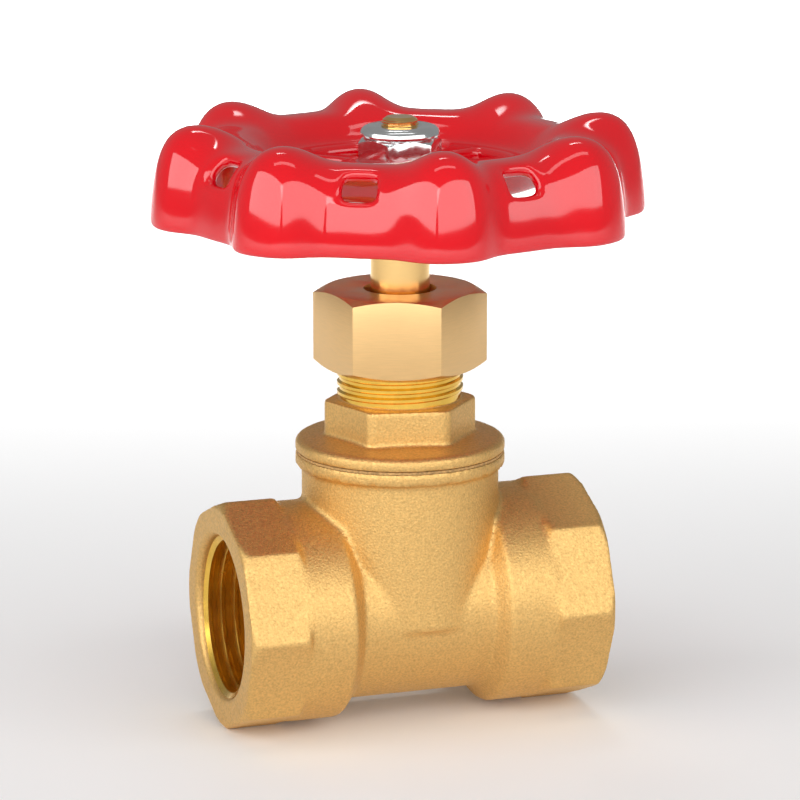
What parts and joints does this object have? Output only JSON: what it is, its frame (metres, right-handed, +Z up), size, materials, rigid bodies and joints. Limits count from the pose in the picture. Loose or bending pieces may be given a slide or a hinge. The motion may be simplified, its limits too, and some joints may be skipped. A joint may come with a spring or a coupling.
{
  "type": "gate valve",
  "caption": "Small brass gate valve with octagonal threaded ends, screwed bonnet, non-rising stem, sliding wedge and a red lobed handwheel.",
  "frame": {"origin": "lowest edge of the octagonal ends, straight under the stem axis", "axes": "+X along the flow axis from the inlet to the outlet, +Z up the stem axis towards the handwheel"},
  "size_m": [0.0636, 0.0636, 0.0787],
  "materials": {
    "cast_brass": "sand-blasted casting",
    "machined_brass": "turned, bright",
    "stem_brass": "turned, bright",
    "wedge_brass": "cast, machined faces",
    "ptfe": "matte",
    "fibre": "matte compressed fibre",
    "red_paint": "glossy enamel",
    "bright_plate": "polished plating"
  },
  "bodies": {
    "valve": {"valve_body": "cast_brass", "bonnet_gasket": "fibre", "bonnet": "cast_brass", "stem_lock_ring": "machined_brass", "thrust_washer": "ptfe", "packing_ring_1": "ptfe", "packing_ring_2": "ptfe", "packing_ring_3": "ptfe", "gland_follower": "machined_brass", "gland_nut": "machined_brass"},
    "stem_and_wheel": {"stem": "stem_brass", "handwheel": "red_paint", "handwheel_nut": "bright_plate"},
    "wedge": {"wedge_gate": "wedge_brass"}
  },
  "joints": [
    {"name": "stem_turn", "type": "hinge", "parent": "valve", "child": "stem_and_wheel", "pos_m": [0, 0, 0.01515], "axis": [0, 0, 1], "range_deg": [-2484, 0]},
    {"name": "wedge_lift", "type": "slide", "parent": "valve", "child": "wedge", "axis": [0, 0, 1], "range_m": [-0.0138, 0]}
  ],
  "couplings": [
    {"joint": "wedge_lift", "follows": "stem_turn", "m_per_rad": 0.00031831}
  ]
}
